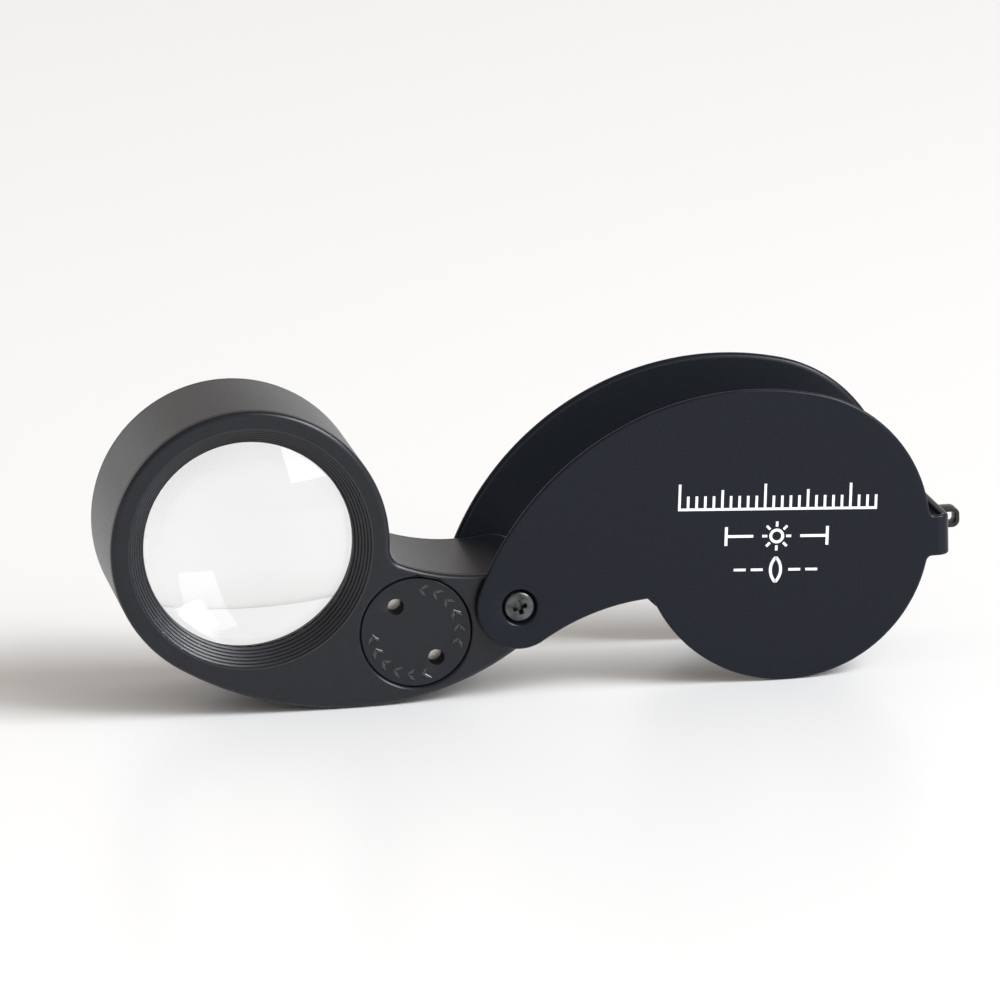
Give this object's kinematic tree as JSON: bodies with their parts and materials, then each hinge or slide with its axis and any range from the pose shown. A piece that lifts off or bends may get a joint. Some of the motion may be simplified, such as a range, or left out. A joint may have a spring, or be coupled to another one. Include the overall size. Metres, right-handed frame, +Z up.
{
  "type": "folding illuminated loupe",
  "caption": "Pocket loupe: a thick round lens barrel on a curved lamp arm with a screwed battery cap, pivoting between the two sides of a teardrop sheet cover.",
  "frame": {"origin": "middle of the base: on the table plane, centred in length and thickness", "axes": "+X along the open loupe from the lens barrel to the cover's tail, +Y along the lens axis towards the object being looked at (the eye side faces -Y), +Z up as it stands on its edge"},
  "size_m": [0.1004, 0.0214, 0.0354],
  "materials": {
    "cover_paint": "satin black paint with a fine texture on 0.9 mm steel sheet",
    "eye_steel": "dark plated strip",
    "body_black": "satin black coating on a light alloy casting",
    "ring_black": "matt black anodised, turned grooves",
    "cap_black": "satin black coating",
    "screw_steel": "plain steel, slightly dull",
    "washer_brass": "plain spring brass",
    "contact_metal": "plated spring brass",
    "lens_glass": "polished clear glass",
    "cell_steel": "bright nickel plate",
    "sleeve_plastic": "pale moulded insulator",
    "board_green": "solder-masked laminate",
    "lamp_clear": "clear moulded resin",
    "component_black": "moulded body",
    "slider_plastic": "moulded black"
  },
  "bodies": {
    "cover": {"cover_shell": "cover_paint", "stop_pin": "screw_steel", "lanyard_eye": "eye_steel"},
    "arm": {"arm_housing": "body_black", "face_plate": "body_black", "back_plate": "body_black", "back_screw_1": "screw_steel", "back_screw_2": "screw_steel", "back_screw_3": "screw_steel", "eyepiece_ring": "ring_black", "lens_front": "lens_glass", "lens_spacer": "ring_black", "lens_rear": "lens_glass", "lens_keeper_ring": "ring_black", "pivot_screw_front": "screw_steel", "pivot_screw_rear": "screw_steel", "pivot_washer_front": "washer_brass", "pivot_washer_rear": "washer_brass", "battery_cell_1": "cell_steel", "battery_cell_2": "cell_steel", "battery_cell_3": "cell_steel", "battery_sleeve": "sleeve_plastic", "battery_spring": "contact_metal", "circuit_board": "board_green", "led_lamp": "lamp_clear", "led_lead_1": "cell_steel", "led_lead_2": "cell_steel", "resistor": "component_black", "switch_contact": "contact_metal"},
    "cap_carrier": {"cap_contact_disc": "contact_metal"},
    "cap": {"battery_cap": "cap_black"},
    "switch": {"switch_slider": "slider_plastic"}
  },
  "joints": [
    {"name": "fold", "type": "hinge", "parent": "cover", "child": "arm", "pos_m": [-0.00375, 0, 0.01082], "axis": [0, -1, 0], "range_deg": [-153.1, 26.9]},
    {"name": "cap_rise", "type": "slide", "parent": "arm", "child": "cap_carrier", "axis": [0, -1, 0], "range_m": [0, 0.0004]},
    {"name": "cap_turn", "type": "hinge", "parent": "cap_carrier", "child": "cap", "pos_m": [-0.01559, -0.008, 0.00841], "axis": [0, -1, 0], "range_deg": [0, 288.1]},
    {"name": "switch_slide", "type": "slide", "parent": "arm", "child": "switch", "axis": [0, 1, 0], "range_m": [0, 0.0017]}
  ],
  "couplings": [
    {"joint": "cap_turn", "follows": "cap_rise", "rad_per_m": 12566}
  ]
}
